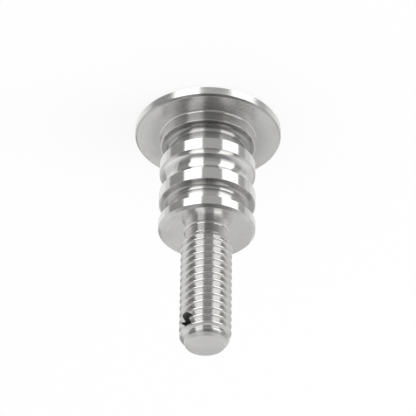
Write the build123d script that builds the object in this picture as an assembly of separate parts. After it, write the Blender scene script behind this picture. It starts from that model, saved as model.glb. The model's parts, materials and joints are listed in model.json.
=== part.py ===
from build123d import *
import math
import os

# Pivot bolt, turned from one bar of stainless steel and then drilled across its tip.
# A thin round flange is the head. Under it a grooved shoulder is the journal that a link
# swings on. Past the shoulder a relieved neck runs into an M8 stem, which a split pin
# crosses near its tip.
#
# Frame: Z is the turning axis. The origin is the centre of the head's outer face, which
# the bolt stands on, and the stem points up. X is the axis of the split-pin hole.

# ---- Driving sizes, in millimetres and degrees ----

# Head: a thin flange, its rim chamfered on both sides.
head_diameter = 23.0
head_thickness = 1.6
head_edge_chamfer = 0.3
head_corner_break = 0.06

# Drive: a hexagon socket sunk into the outer face of the head.
socket_across_flats = 5.0
socket_depth = 4.5
socket_mouth_chamfer = 0.3
socket_drill_angle = 118.0

# Shoulder: four lands with three grooves between them, from the head to the stem. Its end
# is chamfered, so the journal enters its bush.
shoulder_diameter = 15.0
under_head_chamfer = 0.25
shoulder_end_chamfer = 0.45
head_land = 1.8
head_groove_width = 3.4
head_groove_depth = 1.6
head_groove_corner = 1.0
inner_land = 2.0
middle_groove_width = 3.6
middle_groove_depth = 1.6
outer_land = 2.0
tip_groove_width = 3.3
tip_groove_depth = 1.65
tip_groove_corner = 0.8
tip_land = 1.9

# The nose of the square grooves' tool is a polygon tangent to its round corner. With this
# many sides it lies within 2 % of the corner radius, and each ring stays light to mesh.
nose_sides = 16

# Stem: relief neck, run-in cone, then the blank that carries the M8 x 1.25 thread. The
# lead at its tip is a cone down to the root of the thread, so a nut starts easily, and the
# end is rounded over it.
stem_length = 20.5
thread_diameter = 7.94
neck_diameter = 6.7
neck_length = 1.7
neck_chamfer = 0.3
thread_run_in = 1.0
tip_lead_length = 1.45
tip_lead_depth = 0.77
tip_dome_height = 0.6

# Split-pin hole, square to the axis, with a small countersink at both mouths.
pin_hole_diameter = 2.0
pin_hole_to_tip = 3.5
pin_hole_countersink = 0.15

# ---- Places along the axis that follow from the sizes ----

head_radius = head_diameter / 2
shoulder_radius = shoulder_diameter / 2
thread_radius = thread_diameter / 2
neck_radius = neck_diameter / 2
tip_radius = thread_radius - tip_lead_depth
tip_dome_radius = (tip_radius**2 + tip_dome_height**2) / (2 * tip_dome_height)

z_head_groove = head_thickness + head_land
z_inner_land = z_head_groove + head_groove_width
z_middle_groove = z_inner_land + inner_land
z_outer_land = z_middle_groove + middle_groove_width
z_tip_groove = z_outer_land + outer_land
z_tip_land = z_tip_groove + tip_groove_width
z_shoulder_end = z_tip_land + tip_land
z_neck_end = z_shoulder_end + neck_length
z_thread_start = z_neck_end + thread_run_in
z_tip = z_shoulder_end + stem_length
z_tip_rim = z_tip - tip_dome_height
z_pin_hole = z_tip - pin_hole_to_tip


def turned_blank():
    """Half section of the plain steps, revolved, with the edges that the lathe breaks."""
    with BuildPart() as blank:
        with BuildSketch(Plane.XZ):
            with BuildLine():
                Polyline(
                    (0, 0),
                    (head_radius, 0),
                    (head_radius, head_thickness),
                    (shoulder_radius, head_thickness),
                    (shoulder_radius, z_shoulder_end),
                    (neck_radius, z_shoulder_end),
                    (neck_radius, z_neck_end),
                    (thread_radius, z_thread_start),
                    (thread_radius, z_tip_rim - tip_lead_length),
                    (tip_radius, z_tip_rim),
                )
                RadiusArc((tip_radius, z_tip_rim), (0, z_tip), -tip_dome_radius)
                Line((0, z_tip), (0, 0))
            make_face()
        revolve(axis=Axis.Z)

        def rim(radius, height):
            """The circular edge of one radius at one height."""
            return [
                edge
                for edge in blank.edges().filter_by(GeomType.CIRCLE)
                if math.isclose(edge.radius, radius, abs_tol=1e-4)
                and math.isclose(edge.center().Z, height, abs_tol=1e-4)
            ]

        chamfer(rim(head_radius, 0), head_corner_break)
        chamfer(rim(head_radius, head_thickness), head_edge_chamfer)
        chamfer(rim(shoulder_radius, head_thickness), under_head_chamfer)
        chamfer(rim(shoulder_radius, z_shoulder_end), shoulder_end_chamfer)
        chamfer(rim(neck_radius, z_shoulder_end), neck_chamfer)
    return blank.part


def square_groove(z_start, width, depth, corner):
    """Ring that a round-nosed grooving tool cuts: straight walls, rounded floor corners."""
    nose_radius = shoulder_radius - depth + corner
    with BuildPart() as ring:
        with BuildSketch(Plane.XZ):
            with Locations((nose_radius, z_start + corner), (nose_radius, z_start + width - corner)):
                RegularPolygon(corner, nose_sides, major_radius=False, rotation=180 / nose_sides)
            with Locations((shoulder_radius, z_start + width / 2)):
                Rectangle(2 * (depth - corner), width)
            make_hull()
        revolve(axis=Axis.Z)
    return ring.part


def round_groove(z_start, width, depth):
    """Ring that a full-radius tool cuts: one arc from edge to edge, depth at its middle."""
    floor_radius = shoulder_radius - depth
    z_middle = z_start + width / 2
    with BuildPart() as ring:
        with BuildSketch(Plane.XZ):
            with BuildLine():
                ThreePointArc(
                    (shoulder_radius, z_start),
                    (floor_radius, z_middle),
                    (shoulder_radius, z_start + width),
                )
                Line((shoulder_radius, z_start + width), (shoulder_radius, z_start))
            make_face()
        revolve(axis=Axis.Z)
    return ring.part


def hexagon_socket():
    """Blind hexagon socket: drilled cone at the bottom, six flats, chamfered round mouth."""
    flat_radius = socket_across_flats / 2
    corner_radius = flat_radius / math.cos(math.radians(30))
    cone_height = flat_radius / math.tan(math.radians(socket_drill_angle / 2))
    mouth_radius = corner_radius + socket_mouth_chamfer
    with BuildPart() as socket:
        with BuildSketch():
            RegularPolygon(flat_radius, 6, major_radius=False)
        extrude(amount=socket_depth)
        with BuildSketch(Plane.XZ):
            with BuildLine():
                Polyline(
                    (0, socket_depth - flat_radius),
                    (flat_radius, socket_depth - flat_radius),
                    (flat_radius, socket_depth),
                    (0, socket_depth + cone_height),
                    close=True,
                )
            make_face()
        revolve(axis=Axis.Z)
        with BuildSketch(Plane.XZ):
            with BuildLine():
                Polyline((0, 0), (mouth_radius, 0), (0, mouth_radius), close=True)
            make_face()
        revolve(axis=Axis.Z)
    return socket.part


def split_pin_hole():
    """Cross drilling along X with a conical countersink where it breaks each side."""
    hole_radius = pin_hole_diameter / 2
    mouth_radius = hole_radius + pin_hole_countersink
    drill = Cylinder(hole_radius, 2 * thread_diameter)
    sink_height = 2 * pin_hole_countersink
    sink = Cone(mouth_radius - pin_hole_countersink, mouth_radius + pin_hole_countersink, sink_height)
    tool = drill + Pos(0, 0, thread_radius) * sink + Pos(0, 0, -thread_radius) * Rot(180, 0, 0) * sink
    return Pos(0, 0, z_pin_hole) * Rot(0, 90, 0) * tool


def pivot_bolt():
    """The whole bolt as one solid."""
    bolt = turned_blank()
    bolt -= square_groove(z_head_groove, head_groove_width, head_groove_depth, head_groove_corner)
    bolt -= round_groove(z_middle_groove, middle_groove_width, middle_groove_depth)
    bolt -= square_groove(z_tip_groove, tip_groove_width, tip_groove_depth, tip_groove_corner)
    bolt -= hexagon_socket()
    bolt -= split_pin_hole()
    return bolt


os.makedirs("parts", exist_ok=True)
bolt = pivot_bolt()
export_step(bolt, "parts/pivot_bolt.step")
print("shoulder length", round(z_shoulder_end - head_thickness, 3))
print("overall length", round(z_tip, 3), "volume", round(bolt.volume, 2))
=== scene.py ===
# %% [markdown]
# # A turned pivot bolt
#
# The bolt is turned from one bar of stainless steel: a thin flange, a grooved shoulder
# that a link swings on, a short neck and an M8 stem. This lesson makes its looks. The
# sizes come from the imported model, the surface is worked out as numpy grids, and one
# material carries the marks that a lathe leaves.

import json

import bpy
import numpy as np
from mathutils import Matrix, Vector


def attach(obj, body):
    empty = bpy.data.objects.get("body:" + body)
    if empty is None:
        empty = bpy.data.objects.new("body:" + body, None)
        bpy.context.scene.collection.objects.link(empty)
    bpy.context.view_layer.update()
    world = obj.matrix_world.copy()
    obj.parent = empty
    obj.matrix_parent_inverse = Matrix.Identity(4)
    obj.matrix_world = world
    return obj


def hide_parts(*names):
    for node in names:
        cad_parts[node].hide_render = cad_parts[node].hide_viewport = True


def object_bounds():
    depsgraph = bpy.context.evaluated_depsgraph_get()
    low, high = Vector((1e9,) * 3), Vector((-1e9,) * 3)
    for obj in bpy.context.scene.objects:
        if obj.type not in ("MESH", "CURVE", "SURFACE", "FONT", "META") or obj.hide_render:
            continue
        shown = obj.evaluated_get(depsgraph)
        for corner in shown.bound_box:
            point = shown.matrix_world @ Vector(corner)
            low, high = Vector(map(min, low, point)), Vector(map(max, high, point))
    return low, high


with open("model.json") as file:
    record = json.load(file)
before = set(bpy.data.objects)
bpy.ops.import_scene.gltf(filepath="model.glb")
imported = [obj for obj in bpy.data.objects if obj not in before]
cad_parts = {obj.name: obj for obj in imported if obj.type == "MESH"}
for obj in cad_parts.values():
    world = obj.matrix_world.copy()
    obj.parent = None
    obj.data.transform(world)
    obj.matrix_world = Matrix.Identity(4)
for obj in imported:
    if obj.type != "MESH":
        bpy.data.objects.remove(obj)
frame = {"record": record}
cad_low, cad_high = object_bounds()
print("box of the solid, mm:", [round(1000 * (b - a), 2) for a, b in zip(cad_low, cad_high)])

# %% [markdown]
# ## Sizes
#
# The record of the part states its mounts: the journal, the thread and the split-pin
# hole. Their radii and places are read from it, so the look stays on the solid when a
# size changes. Everything in this file is in millimetres until a mesh is written, since
# a machinist thinks of this bolt in millimetres.

# %% Radii and heights that the frame gives
MM = 0.001
mounts = {mount["name"]: mount for mount in frame["record"]["mounts"]}


def mount_height(name):
    """Height of a mount's centre above the face that the bolt stands on, in mm."""
    return mounts[name]["pos_m"][2] / MM


head_radius = cad_high.x / MM
tip_height = cad_high.z / MM
head_thickness = mount_height("head_underside")
shoulder_end = mount_height("shoulder_end")
journal_radius = mounts["shoulder"]["dims"]["r_mm"]
crest_radius = mounts["thread"]["dims"]["r_mm"]
hole_radius = mounts["split_pin_hole"]["dims"]["r_mm"]
hole_height = mount_height("split_pin_hole")
print("head", 2 * head_radius, "journal", 2 * journal_radius, "thread", 2 * crest_radius, "mm")

# %% [markdown]
# ## The outline, rounded where the tool rounds it
#
# No edge on a turned part is perfectly sharp, and no inner corner is either: the nose of
# the tool has a radius, and the edges are broken with a file. Both show, because a tiny
# round catches a line of light all the way round the part.
#
# So an outline is written as plain corners, each with a radius, and one function rounds
# them all. That keeps the shape readable, and a radius is one number to change.

# %% Round every corner of an outline
CHORD_ERROR = 0.002  # how far a chord may stray from its arc, mm
GUARD = 0.02  # straight run kept flat beside each round, mm


def round_corners(corners):
    """Points of an outline whose corners are arcs.

    Each row of corners is radius from the axis, height, and corner radius. At a corner
    the arc touches both runs at a distance r / tan(half the angle between them), and its
    centre lies on the bisector at r / sin(that half angle). The arc is cut into equal
    turns, fine enough for the chord error. One more point on each run, a guard's length
    away, keeps the flat flat when it is shaded smooth.
    """
    corners = np.asarray(corners, float)
    place, radius = corners[1:-1, :2], corners[1:-1, 2]
    back = corners[:-2, :2] - place
    ahead = corners[2:, :2] - place
    back /= np.linalg.norm(back, axis=1, keepdims=True)
    ahead /= np.linalg.norm(ahead, axis=1, keepdims=True)
    half = np.arccos(np.clip((back * ahead).sum(1), -1, 1)) / 2
    bisector = (back + ahead) / np.linalg.norm(back + ahead, axis=1, keepdims=True)
    centre = place + bisector * (radius / np.sin(half))[:, None]
    touch = (radius / np.tan(half))[:, None]
    first, last = place + back * touch - centre, place + ahead * touch - centre
    start = np.arctan2(first[:, 1], first[:, 0])
    sweep = np.arctan2(first[:, 0] * last[:, 1] - first[:, 1] * last[:, 0], (first * last).sum(1))

    finest = 2 * np.arccos(1 - CHORD_ERROR / radius)
    steps = np.maximum(2, np.ceil(np.abs(sweep) / finest)).astype(int)
    which = np.repeat(np.arange(len(steps)), steps + 1)
    step = np.arange(len(which)) - np.repeat(np.cumsum(steps + 1) - steps - 1, steps + 1)
    angle = start[which] + sweep[which] * step / steps[which]
    arcs = centre[which] + radius[which, None] * np.stack([np.cos(angle), np.sin(angle)], 1)

    ends = np.cumsum(steps + 1)
    before = place + back * (touch + GUARD)
    after = place + ahead * (touch + GUARD)
    places = np.concatenate([ends, ends - steps - 1])
    points = np.insert(arcs, places, np.concatenate([after, before]), axis=0)
    return np.concatenate([corners[:1, :2], points, corners[-1:, :2]])


# %% [markdown]
# ## Head and shoulder
#
# The flange comes first, then the journal with its three grooves. The first and the last
# groove were cut with a square tool that has a round nose, so they have upright walls,
# round corners and a flat floor. The middle one was cut with a full-radius tool and is
# one arc. The last land is chamfered, so the journal enters its bush.

# %% Sizes of the head and the shoulder
edge_break = 0.05
head_corner_break = 0.06
head_edge_chamfer = 0.3
under_head_radius = 0.25
end_chamfer = 0.45
head_groove = dict(start=3.4, end=6.8, depth=1.6, corner=1.0)
middle_groove = dict(start=8.8, end=12.4, depth=1.6)
tip_groove = dict(start=14.4, end=17.7, depth=1.65, corner=0.8)
neck_radius, neck_corner, neck_end = 3.35, 0.3, 21.2


def square_groove(start, end, depth, corner):
    """Corners of a groove with upright walls: two broken edges and two round corners."""
    floor = journal_radius - depth
    return [
        (journal_radius, start, edge_break),
        (floor, start, corner),
        (floor, end, corner),
        (journal_radius, end, edge_break),
    ]


def round_groove(start, end, depth):
    """Points of a groove that is one arc.

    An arc that is w wide at its mouth and d deep has the radius (w^2 / 4 + d^2) / 2d, and
    its centre stands outside the journal by that radius less d.
    """
    middle, half_width = (start + end) / 2, (end - start) / 2
    radius = (half_width**2 + depth**2) / (2 * depth)
    centre = journal_radius - depth + radius
    reach = np.arccos((centre - journal_radius + edge_break / 2) / radius)
    steps = int(np.ceil(reach / np.arccos(1 - CHORD_ERROR / radius)))
    turn = np.linspace(-reach, reach, steps + 1)
    return np.stack([centre - radius * np.cos(turn), middle + radius * np.sin(turn)], 1)


# %% The outline from the head's rim to the neck
socket_mouth_radius = 3.19
corner_round, chamfer_round = 0.02, 0.06  # rounds left at the broken corner and at the chamfer
to_middle_groove = round_corners(
    [
        (socket_mouth_radius, 0, 0),
        (head_radius - head_corner_break, 0, corner_round),
        (head_radius, head_corner_break, corner_round),
        (head_radius, head_thickness - head_edge_chamfer, chamfer_round),
        (head_radius - head_edge_chamfer, head_thickness, chamfer_round),
        (journal_radius, head_thickness, under_head_radius),
        *square_groove(**head_groove),
        (journal_radius, middle_groove["start"] - edge_break / 2, 0),
    ]
)
from_middle_groove = round_corners(
    [
        (journal_radius, middle_groove["end"] + edge_break / 2, 0),
        *square_groove(**tip_groove),
        (journal_radius, shoulder_end - end_chamfer, edge_break),
        (journal_radius - end_chamfer, shoulder_end, edge_break),
        (neck_radius, shoulder_end, neck_corner),
        (neck_radius, neck_end, 0),
    ]
)
outline = np.concatenate([to_middle_groove, round_groove(**middle_groove), from_middle_groove])
print("outline:", len(outline), "points, from the socket's mouth to the neck")

# %% [markdown]
# ## Grids round the axis
#
# A turned form is its outline carried round the axis, so it is a grid: rings along the
# outline, columns round the turn. Two places need more than plain rings. The socket has
# six sides, so the radius of its rings changes with the turn. The thread is a helix, so
# its rows climb one pitch in each turn. Both are still grids of the same two numbers.

# %% Columns, and how a grid becomes faces
COLUMNS = 192
turn = np.arange(COLUMNS) / COLUMNS
theta = 2 * np.pi * turn


def grid_points(radius, height):
    """Points at a radius and height, in mm, for every row and column: x = r cos, y = r sin."""
    radius, height = np.broadcast_arrays(radius, height)
    return np.stack([radius * np.cos(theta), radius * np.sin(theta), height], -1).reshape(-1, 3)


def grid_faces(rows, climb=0):
    """Four-cornered faces between neighbours of a grid that closes on itself.

    The column after the last is the first one, climb rows further up.
    """
    row, column = np.meshgrid(np.arange(rows - 1), np.arange(COLUMNS), indexing="ij")
    beside = (column + 1) % COLUMNS
    row_beside = row + np.where(column + 1 == COLUMNS, climb, 0)
    corners = [(row, column), (row_beside, beside), (row_beside + 1, beside), (row + 1, column)]
    return np.stack([np.minimum(r, rows - 1) * COLUMNS + c for r, c in corners], -1).reshape(-1, 4)


# %% [markdown]
# ## The drive socket
#
# A head this thin has no flats for a spanner, so the bolt is held by a hexagon socket in
# the face that it stands on. It is drilled, then broached to six flats, and its mouth is
# chamfered round. Seen from the axis, a flat at distance a lies at a / cos(angle from the
# middle of the flat), and that gives the radius of every point of a six-sided ring.

# %% Rings of the socket, from its bottom out to the face of the head
socket_flat, socket_depth, drill_angle = 2.5, 4.5, np.radians(118)
from_flat = (theta % (np.pi / 3)) - np.pi / 6
six_sided = socket_flat / np.cos(from_flat)
round_ring = np.full(COLUMNS, socket_flat - GUARD)
cone_height = socket_flat / np.tan(drill_angle / 2)
floor_height = np.full(COLUMNS, socket_depth)
mouth_height = socket_mouth_radius - six_sided
socket_radii = np.stack([0 * theta, round_ring, six_sided - GUARD, six_sided, six_sided, six_sided])
socket_heights = np.stack(
    [floor_height + cone_height, floor_height, floor_height, floor_height, floor_height - GUARD, mouth_height]
)
print("socket:", 2 * socket_flat, "mm across the flats,", socket_depth, "mm deep")

# %% [markdown]
# ## The thread
#
# An M8 thread climbs 1.25 mm in each turn. Its section is a round crest, two flanks that
# lean 30 degrees off square, and a round root. One number says where a point is in that
# section: its distance along the axis from the nearest crest. The crest is rounder than a
# drawing's, because a rolled or a used thread has no sharp edge, and its round is what
# draws the pair of a bright line and a dark line along every turn.
#
# The thread doesn't start or stop at once. The blank has a cone at both ends, and the
# thread is whichever is smaller, the cut or the blank. That gives the crests that fade
# in over the neck and the short last turn at the tip, with no case of their own.

# %% Section of the thread
pitch = 1.25
crest_round, root_round = 0.2, 0.12
lean = np.radians(60)  # how far a flank's normal leans up from level
crest_end = crest_round * np.sin(lean)
root_start = pitch / 2 - root_round * np.sin(lean)


def flank_at(from_crest):
    """Radius of the flank: it falls tan(60) = 1.732 mm for each mm along the axis."""
    return crest_radius - crest_round * (1 - np.cos(lean)) - np.tan(lean) * (from_crest - crest_end)


def thread_radius_at(from_crest):
    """Radius of the thread at a distance along the axis from its crest, in mm.

    The crest is an arc, r = R - c + sqrt(c^2 - d^2), up to where it leans as the flank
    does. The root is an arc tangent to both flanks, so its centre lies two root radii
    outside the point where the flanks would meet.
    """
    from_root = pitch / 2 - from_crest
    crest = crest_radius - crest_round + np.sqrt(np.maximum(crest_round**2 - from_crest**2, 0))
    root = flank_at(pitch / 2) + 2 * root_round - np.sqrt(np.maximum(root_round**2 - from_root**2, 0))
    below_crest = np.where(from_crest > root_start, root, flank_at(from_crest))
    return np.where(from_crest < crest_end, crest, below_crest)


root_radius = thread_radius_at(pitch / 2)
print("thread: root", round(float(2 * root_radius), 2), "mm across")

# %% The blank that the thread is cut on
run_in, neck_run = 1.0, 0.1  # lengths of the cone up to the crests, and of the neck before it
cutter_exit = 0.7  # length over which the cutter leaves the work, mm
lead_start, lead_break = tip_height - 1.9, tip_height - 0.9  # where the lead's two cones begin
lead_depth, lead_round = 0.52, 2.5  # depth of the first cone, and the round between the two
tip_dome, tip_round = 0.2, 0.35  # height of the dome, and the round at its rim
rim_radius, rim_height = 2.9, tip_height - tip_dome
dome_radius = (rim_radius**2 + tip_dome**2) / (2 * tip_dome)


def dome_height_at(radius):
    """Height of the rounded end: a sphere through the rim and the tip."""
    return tip_height - dome_radius + np.sqrt(dome_radius**2 - radius**2)


dome_rings = rim_radius * np.array([0.8, 0.65, 0.5, 0.35, 0.2, 0.08, 0])  # from its rim to the axis
tip_outline = round_corners(
    [
        (crest_radius, lead_start, 0),
        (crest_radius - lead_depth, lead_break, lead_round),
        (rim_radius, rim_height, tip_round),
        (dome_rings[0], dome_height_at(dome_rings[0]), 0),
    ]
)
cone_start = neck_end + neck_run
blank_start = [(neck_radius, neck_end), (neck_radius, cone_start), (crest_radius, cone_start + run_in)]
blank_radii, blank_heights = np.concatenate([blank_start, tip_outline[:2]]).T
helix_end = blank_heights[-1]


def blank_radius_at(height):
    """Radius of the blank: the neck, a cone up to the crests, and the first cone of the lead."""
    return np.interp(height, blank_heights, blank_radii)


def root_floor_at(height):
    """Least radius: the cutter leaves the work on the neck, so the groove fades out there.

    The fade is an S, 3 f^2 - 2 f^3, where f grows from 0 to 1 on the way to the neck.
    """
    fade = np.clip((neck_end + cutter_exit - height) / cutter_exit, 0, 1)
    fade = fade * fade * (3 - 2 * fade)
    return root_radius + (neck_radius - root_radius) * fade


# %% Rows of the helix
# A row is a place in the section, and is repeated every pitch. Row and column together
# give the height: pitch x (row + turn). Rows that run past an end are held at that end.
crest_height = 23.01  # height of one crest, mm
crest_turn = -51.5 / 360  # the side of the bolt where that crest has that height, in turns
on_crest = crest_round * np.sin(np.radians([0, 15, 30, 45, 60]))
on_flank = [crest_end + GUARD, (crest_end + root_start) / 2, root_start - GUARD]
on_root = pitch / 2 - root_round * np.sin(np.radians([60, 30]))
half_section = np.concatenate([on_crest, on_flank, on_root])
section = np.concatenate([half_section, [pitch / 2], pitch - half_section[:0:-1]]) / pitch
rows_per_pitch = len(section)
pitches = int(np.ceil((helix_end - neck_end) / pitch)) + 1
first_crest = crest_height / pitch - crest_turn
start_row = np.floor(neck_end / pitch - 1 - first_crest)
row_place = first_crest + start_row + (np.arange(pitches + 2)[:, None] + section).ravel()
helix_heights = np.clip(pitch * (row_place[:, None] + turn), neck_end, helix_end)
from_crest = pitch * np.abs((helix_heights / pitch - turn - first_crest + 0.5) % 1 - 0.5)
blank = blank_radius_at(helix_heights)
cut = np.maximum(thread_radius_at(from_crest), root_floor_at(helix_heights))
helix_radii = np.minimum(cut, blank)
print("thread:", helix_radii.shape[0], "rows,", rows_per_pitch, "in each pitch")

# %% [markdown]
# ## The rounded end
#
# The lead is a cone in two parts, so that the end finds its way into a nut. The first part
# slopes gently inward. The helix above covers it, so it still carries the last turn of the
# thread. The second part slopes more, and runs to a rounded rim and an end that is nearly
# flat. The rings follow it from the thread's last row, and then a shallow sphere up to the
# axis.

# %% Rings of the rounded end
tip_profile = np.concatenate([tip_outline[1:-1], np.stack([dome_rings, dome_height_at(dome_rings)], 1)])
tip_radii = np.minimum(tip_profile[:, :1], helix_radii[-1])
tip_heights = tip_profile[:, 1:] + 0 * theta
print("rounded end:", len(tip_profile), "rings")

# %% [markdown]
# ## One closed surface
#
# The socket, the turned outline, the helix and the rounded end are stacked into one mesh.
# Neighbouring grids share their end rings, so merging doubles closes the skin, and it
# turns the rings of radius zero into the two poles.

# %% Stack the grids and merge their seams
body_radii = np.concatenate([socket_radii, outline[:, :1] + 0 * theta])
body_heights = np.concatenate([socket_heights, outline[:, 1:] + 0 * theta])
grids = [
    (grid_points(body_radii, body_heights), grid_faces(len(body_radii))),
    (grid_points(helix_radii, helix_heights), grid_faces(len(helix_radii), climb=rows_per_pitch)),
    (grid_points(tip_radii, tip_heights), grid_faces(len(tip_radii))),
]


def mesh_object(name, points, faces):
    """An object whose mesh has these points, given in mm, and these faces, merged at 0.1 um."""
    mesh = bpy.data.meshes.new(name)
    mesh.from_pydata(points * MM, [], faces.tolist())
    made = bpy.data.objects.new(name, mesh)
    bpy.context.scene.collection.objects.link(made)
    weld = made.modifiers.new("weld", "WELD")
    weld.merge_threshold = 0.0001 * MM
    return made


offsets = np.cumsum([0] + [len(points) for points, _ in grids[:-1]])
all_points = np.concatenate([points for points, _ in grids])
all_faces = np.concatenate([faces + offset for (_, faces), offset in zip(grids, offsets)])
bolt = mesh_object("turned_bolt", all_points, all_faces)
print("skin:", len(all_points), "points,", len(all_faces), "faces before merging")

# %% [markdown]
# ## The split-pin hole
#
# The hole is drilled after the thread is cut, so the crests end in the open at its mouth,
# and both mouths are deburred with a very small countersink. A drill is a turned form too,
# so the same grid makes it: a rod with two cones on it. It is laid along X and taken away
# from the skin with a Boolean.

# %% The drill and its countersinks
countersink = 0.05
mouth = crest_radius
reach = 2 * crest_radius  # the tool's cones go on this far, well clear of the thread
cone_radius = hole_radius + countersink + reach - mouth
drill_outline = np.array(
    [
        (0, -reach),
        (cone_radius, -reach),
        (hole_radius, -mouth + countersink),
        (hole_radius, mouth - countersink),
        (cone_radius, reach),
        (0, reach),
    ]
)
drill_points = grid_points(drill_outline[:, :1], drill_outline[:, 1:] + 0 * theta)
along_x = drill_points[:, [2, 1, 0]] * [1, 1, -1] + [0, 0, hole_height]
drill = mesh_object("drill", along_x, grid_faces(len(drill_outline)))
drilling = bolt.modifiers.new("split_pin_hole", "BOOLEAN")
drilling.operation, drilling.solver, drilling.object = "DIFFERENCE", "EXACT", drill
print("drill:", 2 * hole_radius, "mm, at height", hole_height, "mm")

# %% Keep the finished mesh
sharp_angle = np.radians(38)  # edges that turn more than this stay sharp
bpy.context.view_layer.update()
graph = bpy.context.evaluated_depsgraph_get()
bolt.data = bpy.data.meshes.new_from_object(bolt.evaluated_get(graph))
bolt.data.name = "turned_bolt"
bolt.modifiers.clear()
bpy.data.objects.remove(drill)
bolt.data.shade_smooth()
bolt.data.set_sharp_from_angle(angle=sharp_angle)
bolt.data.calc_loop_triangles()
print("bolt:", len(bolt.data.loop_triangles), "triangles")

# %% [markdown]
# ## Shader maths as Python
#
# A material is arithmetic on sockets. One small class wraps a socket, and its operators
# add the Math nodes, so a formula reads as a formula. Any other node comes from `node`:
# its type, its settings first, then the values or links of its sockets.

# %% A wrapper for sockets
class Wire:
    """An output socket that takes part in arithmetic. Each operator adds one Math node."""

    def __init__(self, tree, socket=None):
        self.tree, self.socket = tree, socket

    def node(self, kind, settings=None, inputs=None, output=0):
        """Adds a node, sets it up, fills its sockets, and returns one of its outputs."""
        made = self.tree.nodes.new(kind)
        for name, value in (settings or {}).items():
            if name == "stops":
                fill_ramp(made.color_ramp, value)
            else:
                setattr(made, name, value)
        for name, value in (inputs or {}).items():
            if isinstance(value, Wire):
                self.tree.links.new(value.socket, made.inputs[name])
            else:
                made.inputs[name].default_value = value
        return Wire(self.tree, made.outputs[output]) if len(made.outputs) else made

    def math(self, operation, *others, **settings):
        """One Math node, with this wire as its first value."""
        inputs = dict(enumerate([self, *others]))
        return self.node("ShaderNodeMath", {"operation": operation, **settings}, inputs)

    def __add__(self, other):
        return self.math("ADD", other)

    def __radd__(self, other):
        return self.math("ADD", other)

    def __sub__(self, other):
        return self.math("SUBTRACT", other)

    def __rsub__(self, other):
        return self.node("ShaderNodeMath", {"operation": "SUBTRACT"}, {0: other, 1: self})

    def __mul__(self, other):
        return self.math("MULTIPLY", other)

    def __rmul__(self, other):
        return self.math("MULTIPLY", other)

    def __truediv__(self, other):
        return self.math("DIVIDE", other)

    def clamp(self):
        """This value held between 0 and 1."""
        return self.math("ADD", 0.0, use_clamp=True)

    def step(self, low, high):
        """0 below low, 1 above high, and a soft S between."""
        shape = {"interpolation_type": "SMOOTHSTEP"}
        return self.node("ShaderNodeMapRange", shape, {"Value": self, "From Min": low, "From Max": high})


def fill_ramp(ramp, stops):
    """Gives a colour ramp its stops: place from 0 to 1, and a grey level."""
    while len(ramp.elements) > 1:
        ramp.elements.remove(ramp.elements[-1])
    for number, (place, level) in enumerate(stops):
        stop = ramp.elements[0] if number == 0 else ramp.elements.new(place)
        stop.position, stop.color = place, (level, level, level, 1)


# %% [markdown]
# ## Turned steel
#
# A lathe leaves marks that run round the axis, so every mark is a pattern of two numbers:
# the distance from the axis and the height. Noise over those two is constant round the
# turn, which is what a tool mark is. A little of the plain position is mixed in, because
# a real mark fades and wavers.
#
# Those fine grooves spread a reflection across them and leave it sharp along them. The
# anisotropy of the shader does that, turned a quarter so that the spread is across.

# %% Where a point lies on the turned part
steel = bpy.data.materials.new("turned_steel")
steel.use_nodes = True
steel.node_tree.nodes.clear()
at = Wire(steel.node_tree)
position = at.node("ShaderNodeTexCoord", output="Object")
split = [at.node("ShaderNodeSeparateXYZ", inputs={0: position}, output=i) / MM for i in range(3)]
x_mm, y_mm, z_mm = split
radius_mm = (x_mm * x_mm + y_mm * y_mm).math("SQRT")


def ring_noise(marks_per_mm, waver, detail=2.0):
    """Noise that runs round the axis, from 0 to 1, with waver of the plain position in it."""
    across = radius_mm * marks_per_mm + x_mm * waver
    along = z_mm * marks_per_mm + y_mm * waver
    place = at.node("ShaderNodeCombineXYZ", inputs={0: across, 1: along, 2: x_mm * waver})
    return at.node("ShaderNodeTexNoise", inputs={"Vector": place, "Scale": 1.0, "Detail": detail})


# %% [markdown]
# ## One finish, ten places
#
# The lands run in a bush and are the smoothest, and the arc of the middle groove is like
# them. The square grooves and the thread are a little duller. The head's rim and the two
# faces that look along the stem are duller again, and the end of the stem and the bore are
# satin. Inner corners, the square grooves and their head-side walls, the bottom of the
# thread and the bore also get painted shade in their colour, and the rim's chamfer gets a
# painted dark reflection. Each place is a mask, 1 in the place and 0 elsewhere, made from
# the radius and the height. Only the bore's is made from the distance to its own axis.

# %% Masks for the places
def between(value, low, high, soft=0.1):
    """1 between low and high, 0 outside them, with a soft S just beyond each."""
    return value.step(low - soft, low) * (1 - value.step(high, high + soft))


off_hole_axis = (y_mm * y_mm + (z_mm - hole_height) * (z_mm - hole_height)).math("SQRT")
in_bore = 1 - off_hole_axis.step(hole_radius + 0.02, hole_radius + 0.06)
on_thread = z_mm.step(neck_end + 0.2, neck_end + 1.2)
below_lands = 1 - radius_mm.step(journal_radius - 0.35, journal_radius - 0.1)
in_grooves = below_lands * between(z_mm, head_groove["start"], tip_groove["end"])
in_square_grooves = in_grooves * (1 - between(z_mm, middle_groove["start"], middle_groove["end"]))


def near_height(height):
    """1 on a face at this height, 0 elsewhere."""
    return 1 - (z_mm - height).math("ABSOLUTE").step(0.02, 0.04)


# The end of the shoulder is only half as dull as the flange.
outside_journal = radius_mm.step(journal_radius + 0.2, journal_radius + 0.4)
on_faces = (near_height(head_thickness) * outside_journal + 0.5 * near_height(shoulder_end)).clamp()
chamfer_start = head_thickness - head_edge_chamfer
past_rim = z_mm.step(chamfer_start - 0.05, chamfer_start)
on_rim = radius_mm.step(head_radius - 0.1, head_radius - 0.05) * (1 - past_rim)
on_chamfer = radius_mm.step(head_radius - 0.34, head_radius - 0.28) * past_rim
on_tip_face = z_mm.step(lead_break + 0.16, lead_break + 0.22)
in_valleys = on_thread * (1 - radius_mm.step(crest_radius - 0.2, crest_radius - 0.06))


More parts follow.
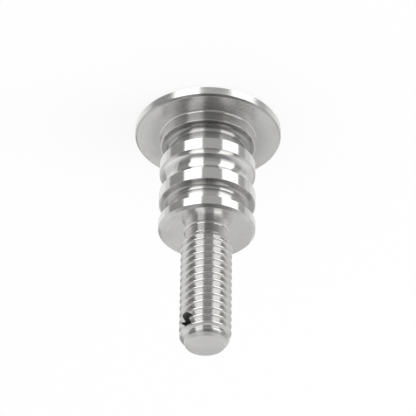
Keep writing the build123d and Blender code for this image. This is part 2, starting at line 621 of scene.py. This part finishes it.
def on_wall(start):
    """1 on the head-side wall of a square groove, 0 elsewhere."""
    return below_lands * (1 - (z_mm - start - 0.2).math("ABSOLUTE").step(0.2, 0.5))


on_walls = on_wall(head_groove["start"]) + on_wall(tip_groove["start"])
# Painted shade: the inner corner under the head and the first groove are darkened in colour, fading out along
# the flange.
corner_reach = 3.4  # how far out along the flange the darker corner fades, mm
near_journal = 1 - radius_mm.step(journal_radius + 0.1, journal_radius + corner_reach)
in_head_groove = in_square_grooves * (1 - z_mm.step(head_groove["end"] - 0.8, head_groove["end"] + 0.2))
in_corner = near_height(head_thickness) * near_journal + in_head_groove

# %% [markdown]
# ## Tool marks, haze and handling
#
# Marks come in two widths, fine ones from the feed of the tool and broad ones from its
# chatter. Both lift the surface by a few micrometres, and the broad ones are hazy as well.
# Smudges are left by fingers, and follow no axis. Apart from the painted shade of the
# places above, the colour barely varies: most of the contrast is in what the steel mirrors.

# %% Roughness, relief and colour
fine_marks = ring_noise(14.0, 0.05)
broad_marks = ring_noise(2.6, 0.12)
smudge_scale, relief_depth = 0.35 / MM, 0.007 * MM  # smudges are about 3 mm wide
smudges = at.node("ShaderNodeTexNoise", inputs={"Vector": position, "Scale": smudge_scale, "Detail": 4.0})
marks_haze = 0.09 * broad_marks.step(0.35, 0.75) + 0.07 * smudges.step(0.5, 0.75)
place_haze = 0.11 * on_faces + 0.12 * on_rim + 0.2 * on_tip_face
place_haze = place_haze + 0.07 * in_square_grooves + 0.06 * on_thread + 0.3 * in_bore
roughness = 0.09 + marks_haze + place_haze
marks = fine_marks * 0.7 + broad_marks * 0.3
relief = at.node("ShaderNodeBump", inputs={"Height": marks, "Distance": relief_depth, "Strength": 1.0})
bright_steel, warm_steel = (0.80, 0.795, 0.785, 1), (0.74, 0.725, 0.70, 1)
warmth = (smudges.step(0.45, 0.8) * 0.8 + broad_marks.step(0.5, 0.9) * 0.2).clamp()
tint = at.node("ShaderNodeMix", {"data_type": "RGBA"}, {0: warmth, 6: bright_steel, 7: warm_steel}, output=2)
# Painted shade in the thread's valleys, the square grooves and their walls, the inner corner and the bore,
# and a painted dark reflection on the rim's chamfer.
shade = (1 - 0.12 * in_valleys) * (1 - 0.10 * in_square_grooves) * (1 - 0.25 * on_walls)
shade = shade * (1 - 0.22 * in_corner) * (1 - 0.5 * in_bore) * (1 - 0.2 * on_chamfer)
colour = at.node("ShaderNodeVectorMath", {"operation": "SCALE"}, {0: tint, "Scale": shade})

# %% The shader
# The satin end scatters part of the light evenly, which a share of plain grey stands for.
surface = at.node(
    "ShaderNodeBsdfPrincipled",
    inputs={
        "Base Color": colour,
        "Metallic": 1 - 0.3 * on_tip_face,
        "Roughness": roughness,
        "Normal": relief,
        "Anisotropic": 0.55,
        "Anisotropic Rotation": 0.25,
    },
)
at.node("ShaderNodeOutputMaterial", inputs={"Surface": surface})
bolt.data.materials.clear()
bolt.data.materials.append(steel)
print("steel:", len(steel.node_tree.nodes), "nodes")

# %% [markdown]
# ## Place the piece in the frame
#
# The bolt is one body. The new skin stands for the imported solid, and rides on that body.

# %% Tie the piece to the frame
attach(bolt, "root")
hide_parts("pivot_bolt")

# %% [markdown]
# ## Camera
#
# The bolt stands on its head, and is looked at from above its tip at about a third of a
# right angle. The camera is turned over, so the head is at the top of the picture. A long
# lens from 0.4 m keeps the cylinder's sides nearly parallel.

# %% Aim a long lens from above the tip
camera_elevation, camera_turn = np.radians(34.465), np.radians(-51.5)
camera_distance, camera_roll, lens = 389.98, np.radians(-179.21), 217.44
aim = Vector((-0.098, -0.121, 14.884))
towards_camera = Vector(
    (
        np.cos(camera_elevation) * np.cos(camera_turn),
        np.cos(camera_elevation) * np.sin(camera_turn),
        np.sin(camera_elevation),
    )
)
camera_data = bpy.data.cameras.new("camera")
camera_data.lens, camera_data.sensor_width = lens, 36
camera_data.clip_start, camera_data.clip_end = 0.01, 20
camera = bpy.data.objects.new("camera", camera_data)
level_view = (-towards_camera).to_track_quat("-Z", "Y").to_matrix()
camera.rotation_euler = (level_view @ Matrix.Rotation(camera_roll, 3, "Z")).to_euler()
camera.location = (aim + towards_camera * camera_distance) * MM
bpy.context.scene.collection.objects.link(camera)
bpy.context.scene.camera = camera
print("camera at", [round(v, 4) for v in camera.location])

# %% [markdown]
# ## Floor
#
# A plain pale floor. It keeps the bolt's soft shadow, and reads as white because most of
# its brightness for the camera is a plain white of strength 1. It isn't seen in the
# steel: there the studio below stands in for it.

# %% A white floor that keeps the shadow
floor_mesh = bpy.data.meshes.new("floor")
floor_half, white_share = 3.0, 0.78  # half its width, m, and how much of it is plain white
floor_corners = np.array([(-1, -1, 0), (1, -1, 0), (1, 1, 0), (-1, 1, 0)]) * floor_half
floor_mesh.from_pydata(floor_corners, [], [(0, 1, 2, 3)])
floor = bpy.data.objects.new("floor", floor_mesh)
bpy.context.scene.collection.objects.link(floor)
floor.visible_glossy = False
paper = bpy.data.materials.new("paper")
paper.use_nodes = True
paper.node_tree.nodes.clear()
sheet = Wire(paper.node_tree)
seen = sheet.node("ShaderNodeLightPath", output="Is Camera Ray")
matt = sheet.node("ShaderNodeBsdfDiffuse", inputs={"Color": (0.92, 0.92, 0.92, 1)})
white = sheet.node("ShaderNodeEmission", inputs={"Color": (1, 1, 1, 1), "Strength": 1.0})
mixed = sheet.node("ShaderNodeMixShader", inputs={0: seen * white_share, 1: matt, 2: white})
sheet.node("ShaderNodeOutputMaterial", inputs={"Surface": mixed})
floor_mesh.materials.append(paper)
print("floor:", 2 * floor_half, "m wide")

# %% [markdown]
# ## The studio, as the steel sees it
#
# Polished metal has almost no colour of its own: it shows the room. A product is shot in
# a tent of white cloth, with dark cards beside the lens, and each light and dark stripe
# down a turned part is one of those cards. So the world is a panorama of two ramps over the
# angle round the bolt, measured from the lens: the cards that stand around it, and the
# softer, darker pattern that hangs above. One fades into the other as the eye rises.
#
# Round a turned part the angle doubles: a wall that faces 30 degrees to one side of the
# lens shows what stands 60 degrees to that side. A slope that leans up by some angle shows
# what is higher by twice that angle, so a groove's round corner runs through both ramps.

# %% Angles of a direction, measured from the lens
world = bpy.data.worlds.new("studio")
bpy.context.scene.world = world
world.use_nodes = True
world.node_tree.nodes.clear()
room = Wire(world.node_tree)
direction = room.node("ShaderNodeTexCoord", output="Generated")
dx, dy, dz = [room.node("ShaderNodeSeparateXYZ", inputs={0: direction}, output=i) for i in range(3)]
lens_x, lens_y = float(np.cos(camera_turn)), float(np.sin(camera_turn))
towards = dx * lens_x + dy * lens_y
to_right = dx * lens_y - dy * lens_x
elevation = dz.math("ARCSINE")
turned = to_right.math("ARCTAN2", towards) / (2 * np.pi)


def rise(angle, low, high):
    """0 where an angle is below low and 1 above high, both in degrees, with a soft S between."""
    return angle.step(float(np.radians(low)), float(np.radians(high)))


card_lean = 0.2  # the cards to the left of the lens lean in by this share as they go up
leaning = card_lean * rise(elevation, -34, 10) * turned.math("LESS_THAN", 0)
around = turned * (1 + leaning) + 0.5

# %% Cards that stand and cloth that hangs
FULL = 1.7  # the brightest card, well past where the steel renders white


def panorama_ramp(stops):
    """A level for every angle round the bolt, from stops of angle in degrees and level."""
    places = [((angle + 180) / 360, level / FULL) for angle, level in stops]
    return room.node("ShaderNodeValToRGB", {"stops": places}, {0: around}) * FULL


def cards(edges, levels, soft=1.2):
    """Stops for flat cards that meet at these angles, with soft edges."""
    angles = [-180] + [edge + side for edge in edges for side in (-soft, soft)] + [180]
    return list(zip(angles, [level for level in levels for _ in (0, 1)]))


standing = panorama_ramp(
    cards(
        [-167, -120, -102, -57, -14, 36, 78, 102, 125, 167],
        [0.55, 0.92, 0.74, 0.31, 1.7, 0.43, 1.65, 0.42, 0.70, 0.85, 0.5],
    )
)
hanging = panorama_ramp(
    [
        (-180, 0.88),
        (-172, 1.06),
        (-115, 0.80),
        (-95, 0.56),
        (-75, 0.30),
        (-50, 0.38),
        (-28, 0.34),
        (-12, 0.16),
        (5, 0.12),
        (45, 0.24),
        (64, 0.28),
        (80, 0.50),
        (115, 0.80),
        (150, 0.78),
        (166, 0.50),
        (180, 0.54),
    ]
)

# %% [markdown]
# ## From the cards up to the roof
#
# The cards dim a little as they rise. The hanging cloth takes over above them, sooner on
# the right than on the left. A light roof closes the tent, and comes lower on the far side
# than near the lens. Only reflections see this panorama: everything else sees plain white
# cloth, which lights the floor evenly.

# %% The panorama
card_dimming, hang_slant, roof_slope, roof_level = 0.24, 0.17, 0.6, 0.66
dimmed = standing * (1 - card_dimming * rise(elevation, -18, 4))
upper = rise(elevation + hang_slant * to_right, 10, 46)
sides = dimmed + upper * (hanging - dimmed)
roof = rise(elevation - roof_slope * towards, 60, 68)
panorama = sides + roof * (roof_level - sides)

# %% Plain light for everything else
to_camera, to_gloss = [
    room.node("ShaderNodeLightPath", output=name) for name in ("Is Camera Ray", "Is Glossy Ray")
]
plain = 0.95  # the cloth as the floor sees it, where the camera sees full white
level = to_gloss * panorama + (1 - to_gloss) * (to_camera * (1.0 - plain) + plain)
background = room.node("ShaderNodeBackground", inputs={"Color": (1, 1, 1, 1), "Strength": level})
room.node("ShaderNodeOutputWorld", inputs={"Surface": background})
print("studio:", len(world.node_tree.nodes), "nodes")

# %% [markdown]
# ## One soft lamp
#
# The tent does most of the work. A broad lamp high on one side gives the shadow on the
# floor a direction.

# %% A broad lamp, 1 m from the bolt
lamp_data = bpy.data.lights.new("softbox", "AREA")
lamp_data.size, lamp_data.energy = 0.5, 1.6
lamp = bpy.data.objects.new("softbox", lamp_data)
lamp.location = (-0.5, -0.35, 0.8)
lamp.rotation_euler = Vector(lamp.location).to_track_quat("Z", "Y").to_euler()
lamp.visible_glossy = False
bpy.context.scene.collection.objects.link(lamp)

# %% Plain colours
bpy.context.scene.view_settings.view_transform = "Standard"
